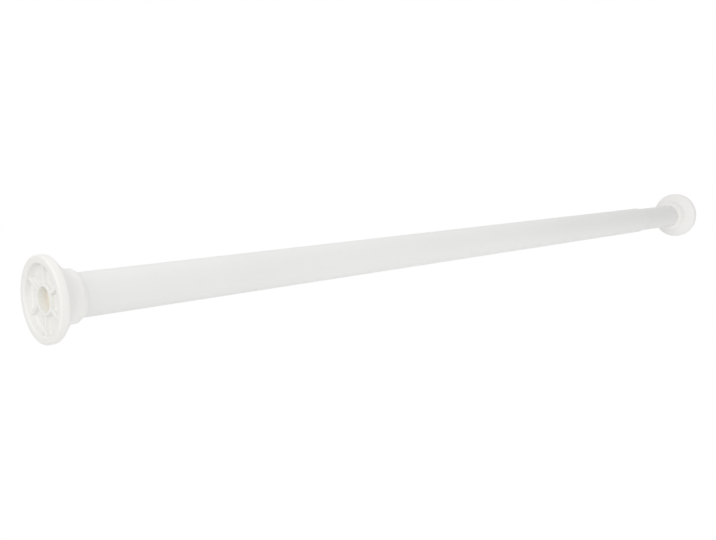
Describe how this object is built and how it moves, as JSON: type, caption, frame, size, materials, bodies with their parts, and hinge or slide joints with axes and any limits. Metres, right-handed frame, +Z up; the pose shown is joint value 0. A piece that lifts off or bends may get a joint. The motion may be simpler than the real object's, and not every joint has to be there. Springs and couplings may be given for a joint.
{
  "type": "telescopic shower curtain rod",
  "caption": "White telescopic tension rod with a flared, rubber-faced flange at each end; it slides and twists to lock at length, and an inner spring holds it between two walls.",
  "frame": {"origin": "centre of the near wall face, the face of the rubber pad at the thick tube's end", "axes": "+X along the rod from the near wall to the far wall, +Z up, +Y to the left of +X seen from above"},
  "size_m": [0.756, 0.048, 0.048],
  "materials": {
    "coated_tube": "white satin powder coat",
    "coated_inner_tube": "white satin powder coat",
    "flange_plastic": "satin moulded",
    "pad_rubber": "matte white",
    "lock_plastic": "natural moulded",
    "zinc_steel": "zinc plated",
    "spring_steel": "drawn wire"
  },
  "bodies": {
    "outer": {"outer_tube": "coated_tube", "near_flange": "flange_plastic", "near_wall_pad": "pad_rubber"},
    "lock": {"lock_sleeve": "lock_plastic"},
    "cone": {"lock_cone": "lock_plastic"},
    "spindle": {"lock_spindle": "zinc_steel", "cone_clip": "spring_steel", "spring_seat": "zinc_steel", "tension_spring": "spring_steel", "stop_washer": "zinc_steel", "stop_nut": "zinc_steel"},
    "inner": {"inner_tube": "coated_inner_tube", "tube_plug": "lock_plastic", "far_flange": "flange_plastic", "far_wall_pad": "pad_rubber"}
  },
  "joints": [
    {"name": "length_adjust", "type": "slide", "parent": "outer", "child": "lock", "axis": [1, 0, 0], "range_m": [-0.056, 0.444]},
    {"name": "twist_lock", "type": "hinge", "parent": "lock", "child": "spindle", "pos_m": [0.12, 0, 0], "axis": [1, 0, 0], "range_deg": [0, 720]},
    {"name": "spring_travel", "type": "slide", "parent": "spindle", "child": "inner", "axis": [1, 0, 0], "range_m": [-0.018, 0], "stiffness_N_per_m": 3600, "springref_m": 0.01, "deforming": ["tension_spring"]},
    {"name": "cone_travel", "type": "slide", "parent": "lock", "child": "cone", "axis": [1, 0, 0], "range_m": [-0.004, 0]}
  ],
  "couplings": [
    {"joint": "cone_travel", "follows": "twist_lock", "m_per_rad": -0.000318}
  ]
}
